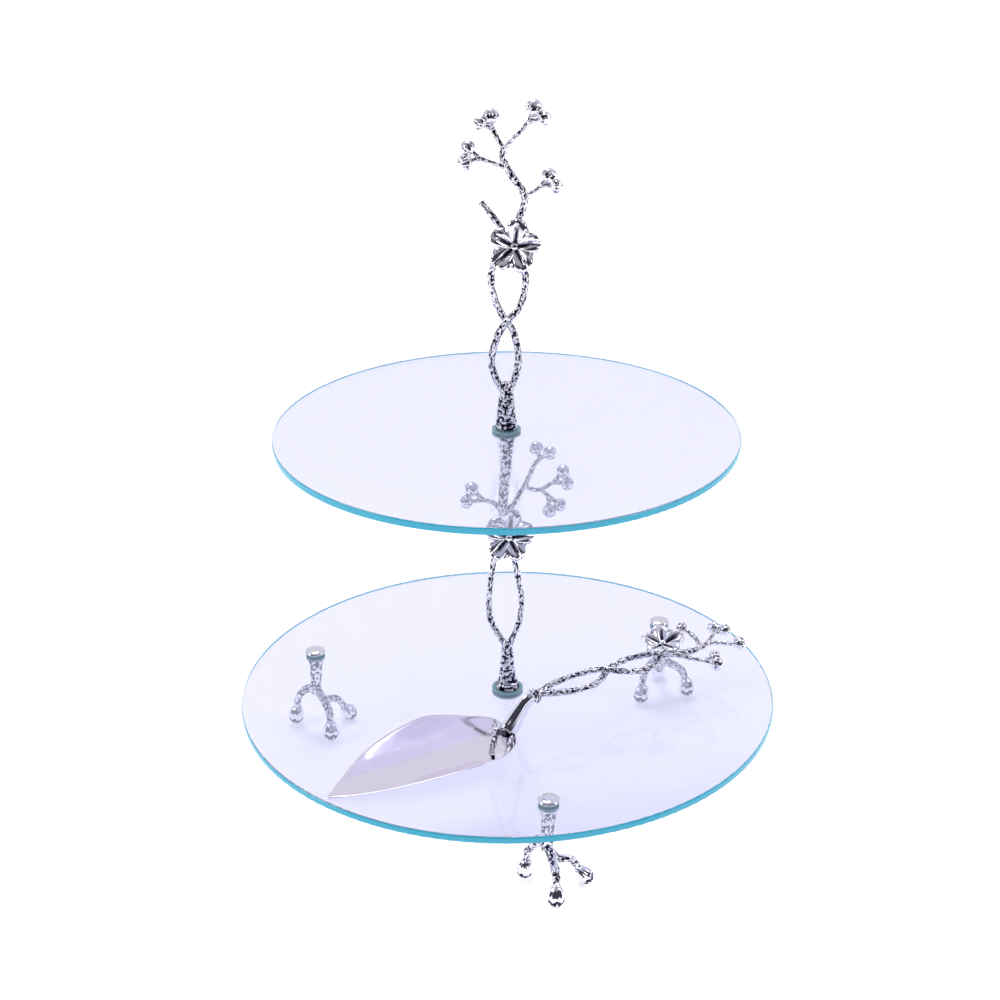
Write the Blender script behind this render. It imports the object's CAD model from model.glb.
import math

import bpy
import numpy as np
from mathutils import Matrix, Vector, kdtree


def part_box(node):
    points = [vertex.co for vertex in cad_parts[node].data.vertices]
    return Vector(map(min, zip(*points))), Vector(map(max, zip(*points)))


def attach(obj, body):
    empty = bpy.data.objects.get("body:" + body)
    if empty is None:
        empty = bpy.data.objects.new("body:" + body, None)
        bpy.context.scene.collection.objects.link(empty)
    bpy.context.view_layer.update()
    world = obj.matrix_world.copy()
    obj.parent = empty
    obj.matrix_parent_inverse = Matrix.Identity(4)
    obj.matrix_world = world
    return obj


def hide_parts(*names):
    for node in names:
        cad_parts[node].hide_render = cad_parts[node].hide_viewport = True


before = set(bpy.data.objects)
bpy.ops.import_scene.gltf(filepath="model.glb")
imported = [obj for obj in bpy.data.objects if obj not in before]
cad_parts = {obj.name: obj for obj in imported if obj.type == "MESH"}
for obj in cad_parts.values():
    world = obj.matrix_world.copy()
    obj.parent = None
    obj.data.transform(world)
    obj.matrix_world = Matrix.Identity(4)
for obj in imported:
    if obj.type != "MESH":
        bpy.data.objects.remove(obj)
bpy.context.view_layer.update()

# Two-tier glass cake stand with cast blossom branches, and its cake server.
# Settings are in millimetres and degrees; everything is turned to metres as it is made.

mm = 0.001
stage = bpy.context.scene.collection


def hexColour(code):
    # sRGB hex to linear
    parts = [int(code[i:i + 2], 16) / 255 for i in (1, 3, 5)]
    return tuple(c / 12.92 if c <= 0.04045 else ((c + 0.055) / 1.055) ** 2.4 for c in parts) + (1.0,)


def addNode(tree, kind, props=None, sockets=None):
    # adds a node, sets its properties, and fills or links its inputs
    node = tree.nodes.new(kind)
    for name, value in (props or {}).items():
        setattr(node, name, value)
    for name, value in (sockets or {}).items():
        if isinstance(value, bpy.types.NodeSocket):
            tree.links.new(value, node.inputs[name])
        else:
            node.inputs[name].default_value = value
    return node


# Materials

def newMaterial(name):
    material = bpy.data.materials.new(name)
    material.use_nodes = True
    tree = material.node_tree
    tree.nodes.clear()
    return material, tree


def castNickel():
    # bright nickel plate on a bark-textured casting: mirror on the ridges, dark oxide in the furrows
    look = {"bright": "#ECECF2", "dark": "#1F1D38", "pitSize": 0.9, "pitShare": 0.55, "wearSize": 2.4,
            "furrowFrom": 0.36, "furrowTo": 0.62, "bump": 0.16, "bumpStrength": 0.55, "polish": 0.14,
            "dull": 0.38}
    material, tree = newMaterial("castNickelPlate")
    place = addNode(tree, "ShaderNodeTexCoord")
    bark = addNode(tree, "ShaderNodeAttribute", {"attribute_name": "bark"})
    pits = addNode(tree, "ShaderNodeTexNoise", {}, {"Vector": place.outputs["Object"],
                                                    "Scale": 1000 / look["pitSize"],
                                                    "Detail": 3.0, "Roughness": 0.6})
    fine = addNode(tree, "ShaderNodeTexNoise", {}, {"Vector": place.outputs["Object"],
                                                    "Scale": 1000 / look["wearSize"],
                                                    "Detail": 2.0})
    depth = addNode(tree, "ShaderNodeMath", {"operation": "MULTIPLY_ADD"},
                    {0: pits.outputs["Fac"], 1: look["pitShare"], 2: bark.outputs["Fac"]})
    furrow = addNode(tree, "ShaderNodeMapRange", {"interpolation_type": "SMOOTHSTEP"},
                     {"Value": depth.outputs[0], "From Min": look["furrowFrom"],
                      "From Max": look["furrowTo"]})
    tint = addNode(tree, "ShaderNodeMix", {"data_type": "RGBA"},
                   {"Factor": furrow.outputs["Result"], "A": hexColour(look["dark"]),
                    "B": hexColour(look["bright"])})
    rough = addNode(tree, "ShaderNodeMapRange", {}, {"Value": fine.outputs["Fac"], "From Min": 0.3,
                                                     "From Max": 0.7,
                                                     "To Min": look["polish"], "To Max": look["dull"]})
    bump = addNode(tree, "ShaderNodeBump", {}, {"Height": pits.outputs["Fac"],
                                                "Strength": look["bumpStrength"],
                                                "Distance": look["bump"] * mm})
    metal = addNode(tree, "ShaderNodeBsdfPrincipled", {}, {
        "Base Color": tint.outputs["Result"], "Metallic": 1.0, "Roughness": rough.outputs["Result"],
        "Normal": bump.outputs["Normal"]})
    addNode(tree, "ShaderNodeOutputMaterial", {}, {"Surface": metal.outputs["BSDF"]})
    return material


def petalNickel():
    # nickel plate burnished on the petals: smooth ribs, with the valleys between them left dark
    look = {"bright": "#ECECF1", "dark": "#211F36", "grain": 0.7, "grainShare": 0.4,
            "valleyFrom": 0.3, "valleyTo": 0.62, "polish": 0.05, "dull": 0.16, "bump": 0.06,
            "bumpStrength": 0.25}
    material, tree = newMaterial("burnishedNickelPlate")
    place = addNode(tree, "ShaderNodeTexCoord")
    bark = addNode(tree, "ShaderNodeAttribute", {"attribute_name": "bark"})
    grain = addNode(tree, "ShaderNodeTexNoise", {}, {"Vector": place.outputs["Object"],
                                                     "Scale": 1000 / look["grain"], "Detail": 2.0})
    mixed = addNode(tree, "ShaderNodeMath", {"operation": "MULTIPLY_ADD"},
                    {0: grain.outputs["Fac"], 1: look["grainShare"], 2: bark.outputs["Fac"]})
    valley = addNode(tree, "ShaderNodeMapRange", {"interpolation_type": "SMOOTHSTEP"},
                     {"Value": mixed.outputs[0], "From Min": look["valleyFrom"],
                      "From Max": look["valleyTo"]})
    tint = addNode(tree, "ShaderNodeMix", {"data_type": "RGBA"},
                   {"Factor": valley.outputs["Result"], "A": hexColour(look["dark"]),
                    "B": hexColour(look["bright"])})
    rough = addNode(tree, "ShaderNodeMapRange", {}, {"Value": grain.outputs["Fac"], "From Min": 0.3,
                                                     "From Max": 0.7, "To Min": look["polish"],
                                                     "To Max": look["dull"]})
    bump = addNode(tree, "ShaderNodeBump", {}, {"Height": grain.outputs["Fac"],
                                                "Strength": look["bumpStrength"],
                                                "Distance": look["bump"] * mm})
    metal = addNode(tree, "ShaderNodeBsdfPrincipled", {}, {
        "Base Color": tint.outputs["Result"], "Metallic": 1.0, "Roughness": rough.outputs["Result"],
        "Normal": bump.outputs["Normal"]})
    addNode(tree, "ShaderNodeOutputMaterial", {}, {"Surface": metal.outputs["BSDF"]})
    return material


def plainMetal(name, colour, low, high, scratch):
    # plain polished metal, with the faint uneven gloss that wiping leaves
    material, tree = newMaterial(name)
    place = addNode(tree, "ShaderNodeTexCoord")
    wipe = addNode(tree, "ShaderNodeTexNoise", {}, {"Vector": place.outputs["Object"],
                                                    "Scale": 1000 / scratch,
                                                    "Detail": 4.0, "Roughness": 0.65})
    rough = addNode(tree, "ShaderNodeMapRange", {}, {"Value": wipe.outputs["Fac"], "From Min": 0.3,
                                                     "From Max": 0.7, "To Min": low, "To Max": high})
    bump = addNode(tree, "ShaderNodeBump", {}, {"Height": wipe.outputs["Fac"], "Strength": 0.05,
                                                "Distance": 0.05 * mm})
    metal = addNode(tree, "ShaderNodeBsdfPrincipled", {}, {
        "Base Color": hexColour(colour), "Metallic": 1.0, "Roughness": rough.outputs["Result"],
        "Normal": bump.outputs["Normal"]})
    addNode(tree, "ShaderNodeOutputMaterial", {}, {"Surface": metal.outputs["BSDF"]})
    return material


def floatGlass():
    # clear soda-lime float glass: almost colourless through its thickness, deep blue-green along its
    # edge, where the light has travelled the width of the sheet; a little haze pales what lies behind, and
    # shadow and diffuse rays pass nearly untouched, so that it throws no dark shadow
    look = {"face": "#D8D9EC", "edge": "#58C3D6", "edgeLight": "#22A9C6", "shadow": "#FBFBFF", "ior": 1.52,
            "haze": "#F2F2FF", "hazeShare": 0.11, "edgeGlow": 0.26, "edgeShare": 0.85, "smear": 0.03}
    material, tree = newMaterial("sodaLimeFloatGlass")
    shape = addNode(tree, "ShaderNodeNewGeometry")
    split = addNode(tree, "ShaderNodeSeparateXYZ", {}, {0: shape.outputs["Normal"]})
    upright = addNode(tree, "ShaderNodeMath", {"operation": "ABSOLUTE"}, {0: split.outputs["Z"]})
    isEdge = addNode(tree, "ShaderNodeMapRange", {"interpolation_type": "SMOOTHSTEP"},
                     {"Value": upright.outputs[0], "From Min": 0.75, "From Max": 0.95, "To Min": 1.0,
                      "To Max": 0.0})
    place = addNode(tree, "ShaderNodeTexCoord")
    smear = addNode(tree, "ShaderNodeTexNoise", {}, {"Vector": place.outputs["Object"], "Scale": 9.0,
                                                     "Detail": 3.0})
    rough = addNode(tree, "ShaderNodeMapRange", {}, {"Value": smear.outputs["Fac"], "From Min": 0.35,
                                                     "From Max": 0.75, "To Min": 0.0,
                                                     "To Max": look["smear"]})
    tint = addNode(tree, "ShaderNodeMix", {"data_type": "RGBA"},
                   {"Factor": isEdge.outputs["Result"], "A": hexColour(look["face"]),
                    "B": hexColour(look["edge"])})
    glass = addNode(tree, "ShaderNodeBsdfPrincipled", {}, {
        "Base Color": tint.outputs["Result"], "Roughness": rough.outputs["Result"], "IOR": look["ior"],
        "Transmission Weight": 1.0})
    glow = addNode(tree, "ShaderNodeBsdfPrincipled", {}, {
        "Base Color": hexColour(look["edgeLight"]), "Roughness": 0.12, "IOR": look["ior"],
        "Emission Color": hexColour(look["edgeLight"]), "Emission Strength": look["edgeGlow"]})
    edgeShare = addNode(tree, "ShaderNodeMath", {"operation": "MULTIPLY"},
                        {0: isEdge.outputs["Result"], 1: look["edgeShare"]})
    body = addNode(tree, "ShaderNodeMixShader", {}, {0: edgeShare.outputs[0], 1: glass.outputs["BSDF"],
                                                     2: glow.outputs["BSDF"]})
    haze = addNode(tree, "ShaderNodeBsdfPrincipled", {}, {
        "Base Color": hexColour(look["haze"]), "Roughness": 0.9, "Specular IOR Level": 0.0})
    hazeShare = addNode(tree, "ShaderNodeMapRange", {}, {"Value": isEdge.outputs["Result"],
                                                         "To Min": look["hazeShare"], "To Max": 0.0})
    body = addNode(tree, "ShaderNodeMixShader", {}, {0: hazeShare.outputs["Result"], 1: body.outputs[0],
                                                     2: haze.outputs["BSDF"]})
    ray = addNode(tree, "ShaderNodeLightPath")
    pale = addNode(tree, "ShaderNodeBsdfTransparent", {}, {"Color": hexColour(look["shadow"])})
    straight = addNode(tree, "ShaderNodeMath", {"operation": "MAXIMUM"},
                       {0: ray.outputs["Is Shadow Ray"], 1: ray.outputs["Is Diffuse Ray"]})
    lit = addNode(tree, "ShaderNodeMixShader", {}, {0: straight.outputs[0], 1: body.outputs[0],
                                                    2: pale.outputs[0]})
    addNode(tree, "ShaderNodeOutputMaterial", {}, {"Surface": lit.outputs[0]})
    return material


def clearVinyl():
    # soft clear vinyl washer, a little cloudy, green-grey where it is seen edge on
    look = {"body": "#B4DEE0", "cloud": 3.0, "ior": 1.45, "clearness": 0.6, "polish": 0.04, "dull": 0.22}
    material, tree = newMaterial("clearVinyl")
    place = addNode(tree, "ShaderNodeTexCoord")
    cloud = addNode(tree, "ShaderNodeTexNoise", {}, {"Vector": place.outputs["Object"],
                                                     "Scale": 1000 / look["cloud"]})
    rough = addNode(tree, "ShaderNodeMapRange", {}, {"Value": cloud.outputs["Fac"],
                                                     "To Min": look["polish"], "To Max": look["dull"]})
    vinyl = addNode(tree, "ShaderNodeBsdfPrincipled", {}, {
        "Base Color": hexColour(look["body"]), "Roughness": rough.outputs["Result"], "IOR": look["ior"],
        "Transmission Weight": look["clearness"]})
    addNode(tree, "ShaderNodeOutputMaterial", {}, {"Surface": vinyl.outputs["BSDF"]})
    return material


finishes = {
    "cast": castNickel(),
    "petal": petalNickel(),
    "polished": plainMetal("polishedNickelPlate", "#EFEFF3", 0.03, 0.09, 4.0),
    "blade": plainMetal("mirrorStainlessSheet", "#F3EEF8", 0.05, 0.13, 14.0),
    "steel": plainMetal("turnedSteel", "#B9BAC0", 0.18, 0.34, 0.8),
    "glass": floatGlass(),
    "vinyl": clearVinyl(),
}
print("materials made")


# Geometry Nodes

def newTree(name, inputs):
    # a geometry tree with named inputs after its geometry
    tree = bpy.data.node_groups.new(name, "GeometryNodeTree")
    tree.interface.new_socket("Geometry", in_out="INPUT", socket_type="NodeSocketGeometry")
    for label, kind, value in inputs:
        socket = tree.interface.new_socket(label, in_out="INPUT", socket_type=f"NodeSocket{kind}")
        if value is not None:
            socket.default_value = value
    tree.interface.new_socket("Geometry", in_out="OUTPUT", socket_type="NodeSocketGeometry")
    return tree, tree.nodes.new("NodeGroupInput"), tree.nodes.new("NodeGroupOutput")


def endTree(tree, into, out, geometry):
    # every tree ends in real geometry with its finish on
    real = addNode(tree, "GeometryNodeRealizeInstances", {}, {"Geometry": geometry})
    coat = addNode(tree, "GeometryNodeSetMaterial", {}, {"Geometry": real.outputs["Geometry"],
                                                         "Material": into.outputs["Finish"]})
    tree.links.new(coat.outputs["Geometry"], out.inputs["Geometry"])
    return tree


def socketId(tree, label):
    return next(s.identifier for s in tree.interface.items_tree
                if s.name == label and s.in_out == "INPUT")


def applyTree(source, tree, values, name):
    # runs a tree on an object and keeps the result as a plain mesh object
    modifier = source.modifiers.new(tree.name, "NODES")
    modifier.node_group = tree
    for label, value in values.items():
        modifier[socketId(tree, label)] = value
    mesh = bpy.data.meshes.new_from_object(source.evaluated_get(bpy.context.evaluated_depsgraph_get()))
    source.modifiers.remove(modifier)
    bpy.data.objects.remove(source)
    return newObject(name, mesh)


def newObject(name, data):
    made = bpy.data.objects.new(name, data)
    stage.objects.link(made)
    return made


def makeBranchTree():
    # skins each curve as a round branch of the curve's own radius, with furrowed bark along it
    tree, into, out = newTree("barkBranch", [
        ("Step", "Float", 0.0006), ("Bark depth", "Float", 0.0004), ("Bark length", "Float", 0.004),
        ("Bark width", "Float", 0.0016), ("Lump depth", "Float", 0.0003), ("Seed", "Float", 0.0),
        ("Finish", "Material", None)])
    even = addNode(tree, "GeometryNodeResampleCurve", {"mode": "LENGTH"},
                   {"Curve": into.outputs["Geometry"], "Length": into.outputs["Step"]})
    along = addNode(tree, "GeometryNodeCaptureAttribute", {}, {"Geometry": even.outputs["Curve"]})
    along.capture_items.new("FLOAT", "along")
    tree.links.new(addNode(tree, "GeometryNodeSplineParameter").outputs["Length"], along.inputs[1])
    ring = addNode(tree, "GeometryNodeCurvePrimitiveCircle", {}, {"Resolution": 26, "Radius": 1.0})
    around = addNode(tree, "GeometryNodeCaptureAttribute", {}, {"Geometry": ring.outputs["Curve"]})
    around.capture_items.new("FLOAT", "around")
    tree.links.new(addNode(tree, "GeometryNodeSplineParameter").outputs["Factor"], around.inputs[1])
    width = addNode(tree, "GeometryNodeInputRadius")
    skin = addNode(tree, "GeometryNodeCurveToMesh", {}, {
        "Curve": along.outputs["Geometry"], "Profile Curve": around.outputs["Geometry"],
        "Scale": width.outputs[0], "Fill Caps": True})
    turn = addNode(tree, "ShaderNodeMath", {"operation": "MULTIPLY"},
                   {0: around.outputs[1], 1: 2 * math.pi})
    girth = addNode(tree, "ShaderNodeMath", {"operation": "DIVIDE"},
                    {0: 0.0028, 1: into.outputs["Bark width"]})
    sideways = []
    for operation in ("COSINE", "SINE"):
        wave = addNode(tree, "ShaderNodeMath", {"operation": operation}, {0: turn.outputs[0]})
        sideways.append(addNode(tree, "ShaderNodeMath", {"operation": "MULTIPLY"},
                                {0: wave.outputs[0], 1: girth.outputs[0]}))
    lengthwise = addNode(tree, "ShaderNodeMath", {"operation": "DIVIDE"},
                         {0: along.outputs[1], 1: into.outputs["Bark length"]})
    where = addNode(tree, "ShaderNodeCombineXYZ", {}, {"X": sideways[0].outputs[0],
                                                       "Y": sideways[1].outputs[0],
                                                       "Z": lengthwise.outputs[0]})
    grain = addNode(tree, "ShaderNodeTexNoise", {"noise_dimensions": "4D"}, {
        "Vector": where.outputs[0], "W": into.outputs["Seed"], "Scale": 1.0, "Detail": 2.0,
        "Roughness": 0.6})
    plate = addNode(tree, "ShaderNodeMapRange", {"interpolation_type": "SMOOTHSTEP"},
                    {"Value": grain.outputs["Fac"], "From Min": 0.44, "From Max": 0.6})
    spot = addNode(tree, "GeometryNodeInputPosition")
    lump = addNode(tree, "ShaderNodeTexNoise", {"noise_dimensions": "4D"}, {
        "Vector": spot.outputs[0], "W": into.outputs["Seed"], "Scale": 190.0, "Detail": 1.0})
    barkLift = addNode(tree, "ShaderNodeMath", {"operation": "MULTIPLY"},
                       {0: plate.outputs["Result"], 1: into.outputs["Bark depth"]})
    lumpAbout = addNode(tree, "ShaderNodeMath", {"operation": "SUBTRACT"}, {0: lump.outputs["Fac"], 1: 0.5})
    lumpLift = addNode(tree, "ShaderNodeMath", {"operation": "MULTIPLY"},
                       {0: lumpAbout.outputs[0], 1: into.outputs["Lump depth"]})
    sink = addNode(tree, "ShaderNodeMath", {"operation": "MULTIPLY"},
                   {0: into.outputs["Bark depth"], 1: -0.6})
    lift = addNode(tree, "ShaderNodeMath", {"operation": "ADD"},
                   {0: barkLift.outputs[0], 1: sink.outputs[0]})
    lift = addNode(tree, "ShaderNodeMath", {"operation": "ADD"},
                   {0: lift.outputs[0], 1: lumpLift.outputs[0]})
    normal = addNode(tree, "GeometryNodeInputNormal")
    move = addNode(tree, "ShaderNodeVectorMath", {"operation": "SCALE"},
                   {0: normal.outputs[0], "Scale": lift.outputs[0]})
    kept = addNode(tree, "GeometryNodeStoreNamedAttribute", {"data_type": "FLOAT", "domain": "POINT"}, {
        "Geometry": skin.outputs["Mesh"], "Name": "bark", "Value": plate.outputs["Result"]})
    moved = addNode(tree, "GeometryNodeSetPosition", {}, {"Geometry": kept.outputs["Geometry"],
                                                          "Offset": move.outputs[0]})
    return endTree(tree, into, out, moved.outputs["Geometry"])


def makeBudTree():
    # stands a copy of one bud on every point, along the point's own axis and at its own size
    tree, into, out = newTree("budsOnTwigs", [("Bud", "Object", None), ("Twist", "Float", 1.7),
                                              ("Finish", "Material", None)])
    bud = addNode(tree, "GeometryNodeObjectInfo", {}, {"Object": into.outputs["Bud"]})
    axis = addNode(tree, "GeometryNodeInputNamedAttribute", {"data_type": "FLOAT_VECTOR"}, {"Name": "axis"})
    share = addNode(tree, "GeometryNodeInputNamedAttribute", {"data_type": "FLOAT"}, {"Name": "share"})
    index = addNode(tree, "GeometryNodeInputIndex")
    spin = addNode(tree, "ShaderNodeMath", {"operation": "MULTIPLY"},
                   {0: index.outputs[0], 1: into.outputs["Twist"]})
    roll = addNode(tree, "FunctionNodeAxisAngleToRotation", {},
                   {"Axis": (0, 0, 1), "Angle": spin.outputs[0]})
    aim = addNode(tree, "FunctionNodeAlignRotationToVector", {"axis": "Z"},
                  {"Vector": axis.outputs["Attribute"]})
    both = addNode(tree, "FunctionNodeRotateRotation", {"rotation_space": "LOCAL"},
                   {"Rotation": aim.outputs[0], "Rotate By": roll.outputs[0]})
    copies = addNode(tree, "GeometryNodeInstanceOnPoints", {}, {
        "Points": into.outputs["Geometry"], "Instance": bud.outputs["Geometry"],
        "Rotation": both.outputs[0], "Scale": share.outputs["Attribute"]})
    return endTree(tree, into, out, copies.outputs["Instances"])


def makePetalTree():
    # repeats one petal round the flower's middle, each a little different in size
    tree, into, out = newTree("petalsRound", [("Petals", "Int", 5), ("Spread", "Float", 0.08),
                                              ("Seed", "Int", 0),
                                              ("First angle", "Float", 0.0), ("Finish", "Material", None)])
    spots = addNode(tree, "GeometryNodePoints", {}, {"Count": into.outputs["Petals"]})
    index = addNode(tree, "GeometryNodeInputIndex")
    wedge = addNode(tree, "ShaderNodeMath", {"operation": "DIVIDE"},
                    {0: 2 * math.pi, 1: into.outputs["Petals"]})
    angle = addNode(tree, "ShaderNodeMath", {"operation": "MULTIPLY_ADD"},
                    {0: index.outputs[0], 1: wedge.outputs[0], 2: into.outputs["First angle"]})
    roll = addNode(tree, "FunctionNodeAxisAngleToRotation", {},
                   {"Axis": (0, 0, 1), "Angle": angle.outputs[0]})
    low = addNode(tree, "ShaderNodeMath", {"operation": "SUBTRACT"}, {0: 1.0, 1: into.outputs["Spread"]})
    share = addNode(tree, "FunctionNodeRandomValue", {"data_type": "FLOAT"},
                    {2: low.outputs[0], 3: 1.0, "Seed": into.outputs["Seed"]})
    copies = addNode(tree, "GeometryNodeInstanceOnPoints", {}, {
        "Points": spots.outputs[0], "Instance": into.outputs["Geometry"],
        "Rotation": roll.outputs[0], "Scale": share.outputs[1]})
    return endTree(tree, into, out, copies.outputs["Instances"])


branchTree = makeBranchTree()
budTree = makeBudTree()
petalTree = makePetalTree()
print("geometry trees made")


# Shared shapes

def smoothRoute(route, step=1.2):
    # Catmull-Rom through points (x, y, z, radius)
    points = [np.array(p, float) for p in route]
    ends = [2 * points[0] - points[1]] + points + [2 * points[-1] - points[-2]]
    path = []
    for a, b, c, d in zip(ends, ends[1:], ends[2:], ends[3:]):
        count = max(2, int(np.linalg.norm((c - b)[:3]) / step))
        for i in range(count):
            t = i / count
            path.append(0.5 * (2 * b + (c - a) * t + (2 * a - 5 * b + 4 * c - d) * t ** 2
                               + (3 * b - a - 3 * c + d) * t ** 3))
    path.append(points[-1])
    return path


def gridMesh(name, rows):
    # a closed mesh from rings of points; each end ring is closed to its middle
    count = len(rows[0])
    points = [p for row in rows for p in row]
    faces = []
    for i in range(len(rows) - 1):
        for j in range(count):
            k = (j + 1) % count
            faces.append((i * count + j, i * count + k, (i + 1) * count + k, (i + 1) * count + j))
    for row, flip in ((0, True), (len(rows) - 1, False)):
        points.append(tuple(np.mean(rows[row], axis=0)))
        middle = len(points) - 1
        for j in range(count):
            edge = (row * count + j, row * count + (j + 1) % count)
            faces.append((middle,) + (edge[::-1] if flip else edge))
    mesh = bpy.data.meshes.new(name)
    mesh.from_pydata([tuple(p) for p in points], [], faces)
    mesh.validate()
    return mesh


def setBark(mesh, values):
    layer = mesh.attributes.get("bark") or mesh.attributes.new("bark", "FLOAT", "POINT")
    layer.data.foreach_set("value", np.asarray(values, np.float32))


def finishMesh(piece, finish):
    mesh = piece.data
    mesh.materials.clear()
    mesh.materials.append(finishes[finish])
    mesh.polygons.foreach_set("material_index", [0] * len(mesh.polygons))
    mesh.polygons.foreach_set("use_smooth", [True] * len(mesh.polygons))
    mesh.update()


def join(pieces, name):
    # joins finished meshes into the first
    bpy.ops.object.select_all(action="DESELECT")
    for piece in pieces:
        piece.select_set(True)
    bpy.context.view_layer.objects.active = pieces[0]
    bpy.ops.object.join()
    pieces[0].name = name
    return pieces[0]


def handOver(piece, body, node):
    # the piece moves with its body and stands for its CAD node
    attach(piece, body)
    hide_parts(node)


def fuse(piece, voxel, rounds=2):
    # melts overlapping branches into one skin, soft at the forks, and carries the bark over to it
    old = piece.data
    tree = kdtree.KDTree(len(old.vertices))
    for i, vertex in enumerate(old.vertices):
        tree.insert(vertex.co, i)
    tree.balance()
    bark = np.zeros(len(old.vertices), np.float32)
    old.attributes["bark"].data.foreach_get("value", bark)
    remesh = piece.modifiers.new("fuse", "REMESH")
    remesh.mode = "VOXEL"
    remesh.voxel_size = voxel * mm
    soften = piece.modifiers.new("soften", "SMOOTH")
    soften.factor = 0.5
    soften.iterations = rounds
    mesh = bpy.data.meshes.new_from_object(piece.evaluated_get(bpy.context.evaluated_depsgraph_get()))
    piece.modifiers.clear()
    piece.data = mesh
    setBark(mesh, [bark[tree.find(v.co)[1]] for v in mesh.vertices])
    return piece


def smoothBudShape(name, look):
    # a round ribbed bud held in a pointed calyx; its foot is at the origin and it opens along Z
    rows, bark = [], []
    around = look["segments"]
    calyxShine, ribShine, ribStep, hemSharpness = 0.95, 0.62, 0.2, 60
    for i in range(1, look["rings"]):
        t = i / look["rings"]
        swell = math.sin(math.pi * t ** look["fullness"]) ** look["roundness"]
        row = []
        for j in range(around):
            a = 2 * math.pi * j / around
            rib = math.cos(look["ribs"] * a)
            window = math.sin(math.pi * min(1.0, t * 1.05)) ** 0.5
            girth = swell + look["stalk"] * (1 - t) ** 3
            radius = look["width"] / 2 * girth * (1 + look["ribDepth"] * rib * window)
            reach = look["calyx"] + look["calyxPoint"] * abs(math.cos(look["sepals"] * a / 2))
            covered = 1 / (1 + math.exp((t - reach) * hemSharpness))
            radius += look["calyxThick"] * covered * min(1.0, t * 8)
            row.append((radius * math.cos(a) * mm, radius * math.sin(a) * mm, look["length"] * t * mm))
            below = math.exp(-((t - reach) / look["shade"]) ** 2)
            bark.append(calyxShine if covered > 0.5 else ribShine + ribStep * rib - look["dark"] * below)
        rows.append(row)
    mesh = gridMesh(name, rows)
    setBark(mesh, bark + [0.5, 0.5])
    return newObject(name, mesh)


def petalShape(name, look):
    # one petal along X: narrow at the heart, two puffed lobes either side of a crease,
    # fine ribs towards its rim
    across, out = look["across"], look["out"]
    top, under, bark = [], [], []
    for i in range(out + 1):
        v = i / out
        reach = math.sin(math.pi * (0.12 + 0.5 * v ** 0.85)) ** 1.1
        for j in range(across + 1):
            u = 2 * j / across - 1
            tip = look["rounding"] * u ** 4
            x = look["start"] + (look["length"] - look["start"]) * v * (1 - tip * v ** 1.5)
            y = look["width"] / 2 * reach * u
            rib = math.cos(look["ribs"] * math.pi * u) * v
            lobes = math.sin(math.pi * abs(u)) ** 2 * math.sin(math.pi * v ** 0.8)
            lobes += 0.25 * v * math.sin(3.3 * u)
            crease = math.exp(-(u / look["creaseWidth"]) ** 2) * math.sin(math.pi * (0.08 + 0.86 * v))
            z = look["lift"] * v ** 1.2 - look["droop"] * (0.4 * u * u * v + v ** 6)
            z += look["puff"] * lobes + look["ribHeight"] * rib
            z += look["overlap"] * u * v - look["fold"] * crease
            thick = look["thick"] * (1 - 0.5 * max(abs(u), v) ** 6)
            top.append((x * mm, y * mm, z * mm))
            under.append((x * mm, y * mm, (z - thick) * mm))
            shine = 0.56 + 0.22 * rib + 0.3 * lobes
            bark.append(shine - 0.5 * (crease + (1 - v) ** 2.5 + abs(u) ** 12))
    wide = across + 1
    count = len(top)
    faces = []
    for i in range(out):
        for j in range(across):
            a = i * wide + j
            quad = (a, a + wide, a + wide + 1, a + 1)
            faces.append(quad)
            faces.append(tuple(k + count for k in quad[::-1]))
    rim = [j for j in range(wide)] + [i * wide + across for i in range(1, out + 1)]
    rim += [out * wide + j for j in range(across - 1, -1, -1)] + [i * wide for i in range(out - 1, 0, -1)]
    for a, b in zip(rim, rim[1:] + rim[:1]):
        faces.append((a, b, b + count, a + count))
    mesh = bpy.data.meshes.new(name)
    mesh.from_pydata(top + under, [], faces)
    setBark(mesh, bark + [0.6] * count)
    return newObject(name, mesh)


roundBudLook = {"length": 8.2, "width": 7.6, "fullness": 1.1, "roundness": 0.62, "stalk": 0.3, "ribs": 9,
                "ribDepth": 0.06, "sepals": 5, "calyx": 0.3, "calyxPoint": 0.16, "calyxThick": 0.3,
                "shade": 0.16,
                "dark": 0.45, "segments": 54, "rings": 26}
toeBudLook = {"length": 13.0, "width": 8.5, "fullness": 1.2, "roundness": 0.62, "stalk": 0.35, "ribs": 11,
              "ribDepth": 0.04, "sepals": 6, "calyx": 0.5, "calyxPoint": 0.12, "calyxThick": 0.28,
              "shade": 0.22,
              "dark": 0.8, "segments": 66, "rings": 34}
petalLook = {"length": 14.0, "width": 13.4, "start": 0.6, "rounding": 0.5, "ribs": 7, "ribHeight": 0.09,
             "lift": 6.6, "droop": 2.6, "puff": 1.5, "fold": 0.4, "creaseWidth": 0.13, "overlap": 0.9,
             "thick": 1.0, "across": 54, "out": 30}
roundBud = smoothBudShape("roundBudPattern", roundBudLook)
toeBud = smoothBudShape("toeBudPattern", toeBudLook)


flowerLook = {"petals": 5, "spread": 0.07, "sunk": 0.3, "raised": 0.9}
budSizes = {"round": 6.8, "toe": 12.9, "sunk": 0.48}


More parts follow.
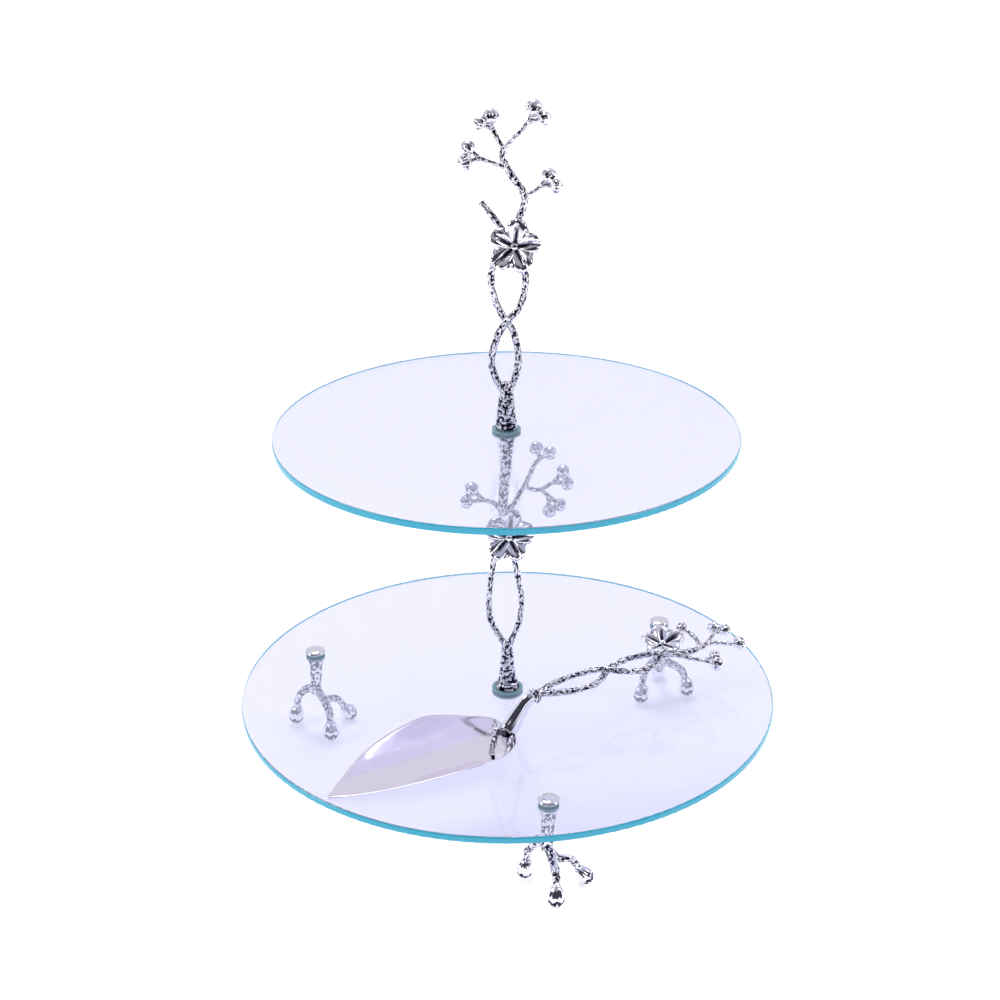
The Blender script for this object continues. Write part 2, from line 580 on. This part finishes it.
def makeBranches(name, routes, seed, look, matrix):
    # routes are lists of (x, y, z, radius) in a casting's own place
    curve = bpy.data.curves.new(f"{name}Lines", "CURVE")
    curve.dimensions = "3D"
    for route in routes:
        path = smoothRoute(route)
        spline = curve.splines.new("POLY")
        spline.points.add(len(path) - 1)
        for point, (x, y, z, radius) in zip(spline.points, path):
            point.co = (x * mm, y * mm, z * mm, 1)
            point.radius = radius * mm
    lines = newObject(f"{name}Lines", curve)
    piece = applyTree(lines, branchTree, {
        "Step": look["step"] * mm, "Bark depth": look["barkDepth"] * mm,
        "Bark length": look["barkLength"] * mm,
        "Bark width": look["barkWidth"] * mm, "Lump depth": look["lumps"] * mm, "Seed": seed,
        "Finish": finishes["cast"]}, name)
    piece = fuse(piece, look["voxel"])
    piece.data.transform(matrix)
    return piece


def makeBuds(name, buds, pattern, size, matrix):
    # buds are (x, y, z, share, axis): the middle of each bud, and the way it points
    mesh = bpy.data.meshes.new(f"{name}Points")
    feet, axes, shares = [], [], []
    for x, y, z, share, axis in buds:
        way = Vector(axis).normalized()
        feet.append((Vector((x, y, z)) - way * size * share * budSizes["sunk"]) * mm)
        axes += list(way)
        shares.append(share)
    mesh.from_pydata([tuple(f) for f in feet], [], [])
    mesh.attributes.new("axis", "FLOAT_VECTOR", "POINT").data.foreach_set("vector", axes)
    mesh.attributes.new("share", "FLOAT", "POINT").data.foreach_set("value", shares)
    piece = applyTree(newObject(f"{name}Points", mesh), budTree,
                      {"Bud": pattern, "Finish": finishes["petal"]}, name)
    piece.data.transform(matrix)
    return piece


def makeFlower(name, rivetNode, facing, scale, firstAngle, seed, body, flowerNode):
    # five petals about a rivet, on the plane where the flower is fixed
    low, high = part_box(rivetNode)
    middle = (Vector(low) + Vector(high)) / 2
    way = Vector(facing).normalized()
    petals = applyTree(petalShape(f"{name}Petal", petalLook), petalTree, {
        "Petals": flowerLook["petals"], "Spread": flowerLook["spread"], "Seed": seed,
        "First angle": math.radians(firstAngle),
        "Finish": finishes["petal"]}, name)
    aim = Vector((0, 0, 1)).rotation_difference(way).to_matrix().to_4x4()
    back = middle - way * flowerLook["sunk"] * mm
    raised = Matrix.Translation(back + way * flowerLook["raised"] * mm)
    petals.data.transform(raised @ aim @ Matrix.Scale(scale, 4))
    finishMesh(petals, "petal")
    handOver(petals, body, flowerNode)
    heart = turned(f"{name}Heart", [(1.0, -2.4), (1.2, 0.6), (1.9, 1.2), (2.15, 1.8), (1.9, 2.5),
                                    (1.2, 3.0), (0.5, 3.2)], 40)
    heart.data.transform(Matrix.Translation(back) @ aim)
    finishMesh(heart, "polished")
    handOver(heart, body, rivetNode)


def turned(name, profile, segments):
    # a lathe shape from (radius, height), closed at both ends
    rows = []
    for radius, height in profile:
        rows.append([(radius * mm * math.cos(2 * math.pi * j / segments),
                      radius * mm * math.sin(2 * math.pi * j / segments),
                      height * mm) for j in range(segments)])
    return newObject(name, gridMesh(name, rows))


def finishCasting(name, branches, buds, body, node):
    finishMesh(branches, "cast")
    finishMesh(buds, "petal")
    handOver(join([branches, buds], name), body, node)


def axisFrom(root, tip):
    return tuple(np.array(tip, float) - np.array(root, float))


barkLook = {"step": 0.4, "barkDepth": 0.46, "barkLength": 2.1, "barkWidth": 1.15, "lumps": 0.5,
            "voxel": 0.26}


def stalksTo(root, buds, radius):
    return [[(*root, radius), (*((np.array(root) + np.array(b[:3])) / 2), radius * 0.95), (*b[:3], radius)]
            for b in buds]


def growTwigs(routes, twigs, stalk=1.3):
    # adds each twig and its buds' stalks to the routes, and gives the buds, pointing away from it
    buds = []
    for twig, ends in twigs:
        root = twig[-1][:3]
        routes.append(twig)
        routes += stalksTo(root, ends, stalk)
        buds += [(x, y, z, share, axisFrom(root, (x, y, z))) for x, y, z, share in ends]
    return buds


def makeStem():
    base = Matrix.Translation((0, 0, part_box("centre_stem")[0][2]))
    routes = [
        [(0, 0, 0.4, 7.2), (0, 0, 2.0, 6.5), (0, 0, 4.5, 5.5), (0, 0, 8, 4.8), (0, 0, 14, 4.1),
         (0, 0, 20, 3.5),
         (0, 0, 27, 2.9), (0, 0, 30, 2.0)],
        [(-0.8, 0.4, 26, 2.0), (-5.8, 0.6, 34.5, 1.8), (-9.6, 0.5, 44, 1.75), (-9.9, 0.2, 60, 1.7),
         (-7.4, 0.4, 78, 1.75), (-3.4, 0.4, 93, 1.9), (-1.8, 0, 103, 2.0)],
        [(0.6, -0.4, 26, 2.0), (3.6, -0.6, 33, 1.8), (7.0, -0.5, 43, 1.75), (8.0, -0.2, 57, 1.7),
         (5.6, -0.4, 72, 1.75), (2.4, -0.4, 88, 1.9), (-1.0, 0, 101, 2.0)],
        [(-1.6, 0, 98, 2.7), (-2.2, 0, 109, 2.7), (-1.0, 0, 126, 3.0), (0, 0, 141, 3.3), (0, 0, 147, 4.0),
         (0, 0, 151.4, 5.0)],
    ]
    twigs = [
        ([(-2.2, 0, 107, 1.7), (-7, -1.5, 112, 1.3), (-12.3, -3, 114.6, 1.2)],
         [(-18.6, -4, 121, 1.0), (-21.2, -6, 115, 0.92)]),
        ([(-2.0, 0, 107, 1.8), (2.7, -1, 109.6, 1.5), (7, -0.4, 117, 1.4), (11, 0, 124, 1.4),
          (14.8, 1, 133, 1.3),
          (18.1, 1.5, 136.7, 1.2)], [(16.2, 2.5, 142, 0.92), (23, 0.5, 140.3, 0.92)]),
        ([(9.8, 0, 121.5, 1.3), (14, 2, 118.5, 1.2), (18.2, 3, 118, 1.2), (25.4, 4, 121.7, 1.15)],
         [(30.3, 4.5, 127.5, 0.94), (32.4, 3, 121.5, 0.9)]),
        ([(18.2, 3, 118, 1.2), (20.4, 2.5, 116.5, 1.1), (22.6, 2, 114.4, 1.1)],
         [(23.2, 0.5, 107, 0.94), (28.6, 2, 109.5, 0.9)]),
    ]
    buds = growTwigs(routes, twigs)
    seat = np.array((1.2, 0.3, 93.6))
    facing = np.array((0, -math.cos(math.radians(18)), math.sin(math.radians(18))))
    routes.append([(-1.2, 0.3, 93, 2.6), (*(seat + facing * 3), 2.8), (*(seat + facing * 7), 3.0)])
    stem = makeBranches("stemBranches", routes, 3.0, barkLook, base)
    finishCasting("stemCasting", stem, makeBuds("stemBuds", buds, roundBud, budSizes["round"], base),
                  "stand", "centre_stem")
    makeFlower("stemFlower", "centre_flower_rivet", facing, 1.0, 82, 4, "stand", "centre_flower")
    print("stem made")


def makeHandle():
    base = Matrix.Translation((0, 0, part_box("handle_casting")[0][2]))
    routes = [
        [(0, 0, 0.4, 6.0), (0, 0, 2.0, 5.8), (0, 0, 6, 5.3), (0, 0, 12, 4.7), (0, 0, 18, 4.1),
         (0, 0, 23, 3.6), (0, 0, 26, 2.2)],
        [(1.2, 0.3, 20, 2.1), (4.8, 0.6, 29, 2.0), (6.5, 1.2, 40.5, 2.0), (3.4, 1.8, 54.5, 1.95),
         (-1.4, 2.0, 62, 1.95),
         (-5.6, 1.4, 71, 2.0), (-7.6, 0.6, 83, 2.05), (-5.0, 0.4, 95, 2.1), (0.6, 0.3, 103, 2.1),
         (4.5, 0, 110, 2.1)],
        [(-1.2, -0.3, 20, 2.1), (-5.6, -0.6, 29, 2.0), (-7.8, -1.2, 39, 2.0), (-4.6, -1.8, 52, 2.1),
         (0.6, -2.0, 60.5, 2.1), (6.4, -1.4, 67, 2.0), (10.0, -0.6, 78, 2.0), (9.4, -0.4, 93, 2.1),
         (6.4, -0.3, 103, 2.1), (4.8, 0, 110, 2.1)],
        [(4.6, 0, 107, 2.2), (6.7, 0, 115, 2.0), (9.8, -0.6, 124, 1.95), (8.4, -0.6, 130, 2.0),
         (3.0, 0, 137.5, 2.0),
         (-1.2, 0.4, 146, 1.95), (-0.5, 0, 152, 1.9)],
        [(1.6, 0.3, 104.5, 1.8), (-6.6, 1.0, 116, 1.7), (-12.6, 1.5, 123.6, 1.65)],
    ]
    twigs = [
        ([(-0.5, 0, 151, 1.5), (6.4, -1, 159, 1.2), (11.9, -1.5, 165, 1.2)],
         [(14.1, -1, 171.2, 1.12), (19, -3, 167, 0.88)]),
        ([(-0.8, 0, 151, 1.6), (-4.6, 0.5, 157, 1.5), (-6.5, 1, 161, 1.5)],
         [(-7.1, 1.5, 166.5, 1.03), (-12.2, -0.5, 164, 0.85)]),
        ([(0.8, 0.2, 141, 1.4), (-6.6, -1.5, 144.4, 1.05), (-12.9, -2.5, 147, 1.1)],
         [(-18.3, -2.5, 152, 0.95), (-19.6, -5, 145.6, 1.0)]),
        ([(9.4, -0.6, 127, 1.4), (14.5, 0.5, 129, 1.1), (18.3, 1, 132, 1.2)],
         [(21.8, 2, 136, 1.03), (25.3, 0, 131.8, 0.88)]),
    ]
    buds = growTwigs(routes, twigs)
    facing = np.array((0, -math.cos(math.radians(20)), math.sin(math.radians(20))))
    seat = np.array((4.4, -0.2, 99.4))
    routes.append([(3.6, -0.2, 102, 2.6), (*(seat + facing * 3), 2.8), (*(seat + facing * 7), 3.0)])
    handle = makeBranches("handleBranches", routes, 11.0, barkLook, base)
    finishCasting("handleCasting", handle, makeBuds("handleBuds", buds, roundBud, budSizes["round"], base),
                  "handle",
                  "handle_casting")
    makeFlower("handleFlower", "handle_flower_rivet", facing, 1.03, 80, 9, "handle", "handle_flower")
    print("handle made")


def makeFeet():
    twists = {"front": 0, "right": 75, "left": 17}
    capHeight = 2.2
    for k, (name, twist) in enumerate(twists.items()):
        low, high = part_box(f"foot_screw_{name}")
        x, y = (low[0] + high[0]) / 2, (low[1] + high[1]) / 2
        place = Matrix.Translation((x, y, 0)) @ Matrix.Rotation(math.radians(twist), 4, "Z")
        routes = [
            [(0, 0, 46.6, 4.9), (0, 0, 45, 4.5), (0, 0, 41, 3.8), (-0.4, 0, 33, 3.5), (-0.9, 0, 25, 3.2),
             (-0.7, -0.6, 23, 2.6)],
            [(-0.9, 0, 27, 2.5), (-6, 3, 25, 2.4), (-10, 6.4, 19, 2.2), (-11.4, 7.5, 11, 2.0)],
            [(-0.9, 0, 27, 2.7), (1.6, -6, 23, 2.5), (3.6, -14, 17.5, 2.4), (3.8, -17.2, 9, 2.1)],
            [(-0.6, -1, 25, 2.4), (4.4, -2, 19.5, 2.3), (12, 0.5, 16.5, 2.2), (17.0, 2.4, 8.6, 2.0)],
        ]
        toes = [(-11.85, 7.6, 6.4, 1.0, (-0.7, 0.6, -4.4)), (3.75, -17.6, 6.45, 1.0, (-0.1, -0.7, -4.4)),
                (18.9, 2.8, 5.5, 0.97, (2.9, 0.6, -3.5))]
        feet = makeBranches(f"footBranches_{name}", routes, 20.0 + k,
                            dict(barkLook, barkDepth=0.4, lumps=0.8), place)
        buds = makeBuds(f"footBuds_{name}", toes, toeBud, budSizes["toe"], place)
        standOnTable(buds)
        finishCasting(f"footCasting_{name}", feet, buds, "stand", f"foot_{name}")
        cap = turned(f"footCap_{name}", [(1.5, -12), (1.7, -11.6), (1.7, 0), (5.7, 0), (5.95, 0.25),
                                         (6.0, 0.6), (5.75, 1.15), (5.0, 1.65), (3.6, 2.0), (1.8, 2.18)],
                     64)
        cap.data.transform(Matrix.Translation((x, y, high[2] - capHeight * mm)))
        finishMesh(cap, "polished")
        handOver(cap, "stand", f"foot_screw_{name}")
    print("feet made")


def standOnTable(piece):
    # presses whatever reaches under the table back to a flat at its level
    for vertex in piece.data.vertices:
        vertex.co.z = max(vertex.co.z, 0.0)


def serverFrame():
    # X from the blade's tip to the handle's end; the collar's middle is a known way along it
    low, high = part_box("server_collar")
    collar = (Vector(low) + Vector(high)) / 2
    turn = Matrix.Rotation(math.radians(31), 4, "Z")
    return Matrix.Translation(collar) @ turn @ Matrix.Translation((-126.35 * mm, 0, -24 * mm))


bladeLook = {"length": 117.0, "half": 29.5, "cup": 7.0, "middle": 5.9, "thick": 1.2, "along": 96,
             "across": 40,
             "back": [(0, 0), (0.15, 0.49), (0.31, 0.88), (0.48, 1.1), (0.63, 1.2), (0.72, 1.16),
                      (0.84, 0.99),
                      (0.95, 0.78), (0.99, 0.48), (1.0, 0.2)],
             "front": [(0, 0), (0.08, -0.19), (0.15, -0.32), (0.3, -0.56), (0.48, -0.73), (0.62, -0.8),
                       (0.735, -0.78), (0.82, -0.66), (0.92, -0.34), (0.97, -0.08), (1.0, 0.2)]}
cupRadius = (bladeLook["half"] ** 2 + bladeLook["cup"] ** 2) / (2 * bladeLook["cup"])


def sagAt(y):
    return cupRadius - math.sqrt(cupRadius ** 2 - (y - bladeLook["middle"]) ** 2)


def makeBlade(place):
    look = bladeLook
    shares = (1 - np.cos(np.linspace(0, math.pi, look["along"] + 1))) / 2
    edges = []
    for outline in (look["back"], look["front"]):
        path = np.array(smoothRoute([(x * look["length"], y * look["half"], 0, 0) for x, y in outline],
                                    1.0))
        edges.append(np.interp(shares * look["length"], path[:, 0], path[:, 1]))
    rows = []
    for share, back, front in list(zip(shares, *edges))[1:-1]:
        upperRow, lowerRow = [], []
        for j in range(look["across"] + 1):
            side = 2 * j / look["across"] - 1
            y = (back + front) / 2 + (back - front) / 2 * side
            thin = 1 - 0.8 * abs(side) ** 12
            x = share * look["length"]
            upperRow.append((x * mm, y * mm, (sagAt(y) + look["thick"] * (0.5 + 0.5 * thin)) * mm))
            lowerRow.append((x * mm, y * mm, (sagAt(y) + look["thick"] * (0.5 - 0.5 * thin)) * mm))
        rows.append(upperRow + lowerRow[::-1])
    blade = newObject("serverBlade", gridMesh("serverBlade", rows))
    blade.data.transform(place)
    finishMesh(blade, "blade")
    handOver(blade, "server", "server_blade")


def makeNeck(place):
    # tapered neck with long flats ground into it, from the blade's heel up to the collar
    look = {"flats": 6, "flatDepth": 0.1, "around": 96, "wide": 1.08}
    path = smoothRoute([(113.2, 6.2, 3.0, 5.1), (114.8, 5.6, 5.2, 4.9), (117.2, 4.2, 10.6, 4.4),
                        (120.2, 2.6, 16.8, 3.8), (122.8, 1.0, 21.8, 3.3), (125.2, 0, 24.2, 2.8)], 0.9)
    rows = []
    centre = [Vector(p[:3]) for p in path]
    for i, point in enumerate(path):
        ahead = (centre[min(i + 1, len(path) - 1)] - centre[max(i - 1, 0)]).normalized()
        side = Vector((0, 1, 0))
        up = side.cross(ahead).normalized()
        row = []
        for j in range(look["around"]):
            a = 2 * math.pi * j / look["around"]
            r = point[3] * (1 - look["flatDepth"] * math.cos(look["flats"] * a / 2) ** 2)
            p = centre[i] + side * math.cos(a) * r * look["wide"] + up * math.sin(a) * r
            row.append(tuple(p * mm))
        rows.append(row)
    neck = newObject("serverNeck", gridMesh("serverNeck", rows))
    neck.data.transform(place)
    finishMesh(neck, "polished")
    handOver(neck, "server", "server_neck")


def makeServer():
    place = serverFrame()
    makeBlade(place)
    makeNeck(place)

    def onBlade(x, y, above, radius):
        return x, y, sagAt(y) + bladeLook["thick"] + above, radius

    line = [(111.7, 18.3, 1.3), (107.0, 10.3, 1.7), (101.2, 1.5, 1.7), (94.8, -6.5, 1.6),
            (89.5, -17.7, 1.2)]
    sprigRoutes = [[onBlade(x, y, 0.55, radius) for x, y, radius in line],
                   [onBlade(107.5, 11.0, 0.7, 1.6), onBlade(110.5, 9.4, 1.2, 1.7),
                    onBlade(113.2, 6.6, 2.2, 2.0)]]
    sprig = makeBranches("serverHeelSprig", sprigRoutes, 41.0, barkLook, place)
    finishMesh(sprig, "cast")
    handOver(sprig, "server", "server_heel_sprig")

    knot = makeBranches("serverCollar", [[(124.6, -1.2, 23.6, 1.6), (125.4, 1.8, 25.0, 2.0),
                                          (126.4, 2.4, 22.6, 2.0),
                                          (126.6, -1.4, 21.2, 1.9), (127.0, -2.6, 23.8, 1.8),
                                          (127.2, 0.2, 25.4, 2.0)],
                                         [(124.4, 0, 24, 2.6), (128.2, 0, 24, 2.6)]], 43.0,
                        dict(barkLook, barkDepth=0.3), place)
    finishMesh(knot, "cast")
    handOver(knot, "server", "server_collar")

    start = np.array((127.55, 0, 24.0))
    routes = [
        [(0, 0, 0, 2.4), (3.6, -0.6, -0.5, 2.1), (13.5, -4.5, -0.6, 1.9), (21, -7.8, 0, 1.8),
         (31.5, -7.2, -0.4, 1.75),
         (40, -2.4, -1.8, 1.8), (51, 4.6, -0.6, 1.8), (64.5, 6.6, 0.2, 1.8), (77, 5.0, 0, 1.85),
         (86, 0.8, -0.4, 2.0)],
        [(0, 0.2, 0.2, 2.2), (3.6, 0.6, 0.5, 2.0), (10, 3.2, 0.8, 1.9), (17, 5.2, 0.2, 1.8),
         (27, 6.4, 0.3, 1.75),
         (37.5, 5.0, 0.9, 1.8), (44, 1.4, 1.9, 1.8), (49.5, -2.9, 1.4, 1.8), (58, -6.9, 0.3, 1.75),
         (66.5, -8.0, 0, 1.8), (75, -4.6, 0.1, 1.85), (84, 0.8, -0.2, 2.0)],
        [(82, 1.4, -0.3, 2.2), (95.6, -2.6, -0.6, 1.9), (105, -3.4, -0.8, 1.7), (114, 0, -1.2, 1.5),
         (120.4, -2.0, -1.6, 1.25), (126, -6.4, -2.0, 1.15)],
    ]
    tilt = math.radians(78)
    turn = math.radians(-31)
    facing = np.array((math.sin(turn) * math.cos(tilt), -math.cos(turn) * math.cos(tilt), math.sin(tilt)))
    root = np.array((83.5, 1.6, -0.3))
    routes.append([(*root, 2.4), (*(root + facing * 3), 2.4), (*(root + facing * 7), 2.8)])
    twigs = [
        ([(90, -1.4, -0.4, 1.5), (94, -7.6, -0.8, 1.3), (100, -14.6, -1.2, 1.15)],
         [(104.6, -21, -1.6, 0.92), (107.6, -15.2, -1.0, 0.9)]),
        ([(107, -2.6, -0.8, 1.6), (111.6, 8, -0.8, 1.4), (113, 16.6, -0.8, 1.2)],
         [(112, 21.4, -0.8, 0.92)]),
        ([(114, 0, -1.2, 1.4), (123.6, 7.0, -1.2, 1.15)],
         [(128.2, 13.4, -1.2, 0.9), (132.4, 8.6, -1.6, 0.9)]),
        ([(120.4, -2.0, -1.6, 1.2), (126, -6.4, -2.0, 1.1)], [(130.6, -7.6, -2.2, 0.95)]),
    ]
    buds = growTwigs(routes, twigs, 1.1)
    routes = [[(*(start + p[:3]), p[3]) for p in route] for route in routes]
    buds = [(*(start + (x, y, z)), share, way) for x, y, z, share, way in buds]
    handle = makeBranches("serverBranches", routes, 31.0, barkLook, place)
    finishCasting("serverHandle", handle, makeBuds("serverBuds", buds, roundBud, budSizes["round"], place),
                  "server",
                  "server_handle")
    makeFlower("serverFlower", "server_flower_rivet", (0, -math.cos(tilt), math.sin(tilt)), 0.92, 20, 6,
               "server",
               "server_flower")
    print("server made")


def finishCadPieces():
    # the trays, washers, stud and screws keep their own shapes
    looks = {"glass": ["lower_tray", "upper_tray"],
             "vinyl": [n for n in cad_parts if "washer" in n],
             "steel": ["joining_stud", "server_tang"],
             "polished": ["centre_screw"]}
    for finish, nodes in looks.items():
        for node in nodes:
            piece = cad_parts[node]
            for slot in piece.material_slots:
                slot.material = finishes[finish]
    print("cad pieces finished")


def makeStage():
    look = {"room": (0.05, 0.05, 0.068, 1), "sweep": (0.72, 0.71, 0.80, 1), "floorGlow": 0.54,
            "ceilingShare": 0.5}
    floorMesh = bpy.data.meshes.new("floor")
    reach = 60.0
    floorMesh.from_pydata([(-reach, -reach, 0), (reach, -reach, 0), (reach, reach, 0), (-reach, reach, 0)],
                          [],
                          [(0, 1, 2, 3)])
    floor = newObject("floor", floorMesh)
    material, tree = newMaterial("mattWhiteSweep")
    place = addNode(tree, "ShaderNodeTexCoord")
    tooth = addNode(tree, "ShaderNodeTexNoise", {}, {"Vector": place.outputs["Object"], "Scale": 60.0})
    rough = addNode(tree, "ShaderNodeMapRange", {}, {"Value": tooth.outputs["Fac"], "To Min": 0.7,
                                                     "To Max": 0.85})
    paper = addNode(tree, "ShaderNodeBsdfPrincipled", {}, {
        "Base Color": hexColour("#F7F7FA"), "Roughness": rough.outputs["Result"], "Specular IOR Level": 0.1,
        "Emission Color": hexColour("#FFFFFF"), "Emission Strength": look["floorGlow"]})
    addNode(tree, "ShaderNodeOutputMaterial", {}, {"Surface": paper.outputs["BSDF"]})
    floorMesh.materials.append(material)

    world = bpy.data.worlds.new("studio")
    bpy.context.scene.world = world
    world.use_nodes = True
    tree = world.node_tree
    tree.nodes.clear()
    # a pale sweep behind the stand and partly overhead, a dim room in front of it
    sky = addNode(tree, "ShaderNodeTexCoord")
    way = addNode(tree, "ShaderNodeSeparateXYZ", {}, {0: sky.outputs["Generated"]})
    behind = addNode(tree, "ShaderNodeMapRange", {"interpolation_type": "SMOOTHSTEP"},
                     {"Value": way.outputs["Y"], "From Min": -0.25, "From Max": 0.55})
    room = addNode(tree, "ShaderNodeMix", {"data_type": "RGBA"},
                   {"Factor": behind.outputs["Result"], "A": look["room"], "B": look["sweep"]})
    above = addNode(tree, "ShaderNodeMapRange", {"interpolation_type": "SMOOTHSTEP"},
                    {"Value": way.outputs["Z"], "From Min": 0.55, "From Max": 0.8,
                     "To Max": look["ceilingShare"]})
    dome = addNode(tree, "ShaderNodeMix", {"data_type": "RGBA"},
                   {"Factor": above.outputs["Result"], "A": room.outputs["Result"], "B": look["sweep"]})
    glow = addNode(tree, "ShaderNodeBackground", {}, {"Color": dome.outputs["Result"], "Strength": 1.0})
    addNode(tree, "ShaderNodeOutputWorld", {}, {"Surface": glow.outputs[0]})

    lamps = [("leftSoftbox", (-1.9, -0.5, 1.3), 0.9, 12.0), ("rightSoftbox", (1.9, -0.3, 1.5), 0.9, 9.0),
             ("topSoftbox", (-0.25, 1.1, 2.6), 1.0, 28.0)]
    for name, spot, width, power in lamps:
        lamp = bpy.data.lights.new(name, "AREA")
        lamp.size = width
        lamp.energy = power
        holder = newObject(name, lamp)
        holder.location = spot
        holder.rotation_euler = (Vector((0, 0, 0.15)) - Vector(spot)).to_track_quat("-Z", "Y").to_euler()
    print("stage made")


def makeCamera():
    look = {"lens": 69.2, "spot": (0.0, -0.9535, 0.5957), "down": 24.12, "left": 0.14, "roll": -0.28,
            "shift": -0.0024}
    camera = bpy.data.cameras.new("camera")
    camera.lens = look["lens"]
    camera.sensor_width = 36.0
    camera.shift_x = look["shift"]
    holder = newObject("camera", camera)
    down, yaw, roll = (math.radians(look[k]) for k in ("down", "left", "roll"))
    ahead = Vector((-math.sin(yaw) * math.cos(down), math.cos(yaw) * math.cos(down), -math.sin(down)))
    level = Vector((math.cos(yaw), math.sin(yaw), 0))
    above = level.cross(ahead)
    right = level * math.cos(roll) + above * math.sin(roll)
    up = above * math.cos(roll) - level * math.sin(roll)
    holder.matrix_world = Matrix((right, up, -ahead)).transposed().to_4x4()
    holder.location = look["spot"]
    bpy.context.scene.camera = holder
    bpy.context.scene.view_settings.view_transform = "Standard"
    print("camera made")


makeStem()
makeHandle()
makeFeet()
makeServer()
finishCadPieces()
for pattern in (roundBud, toeBud):
    bpy.data.objects.remove(pattern)
makeStage()
makeCamera()
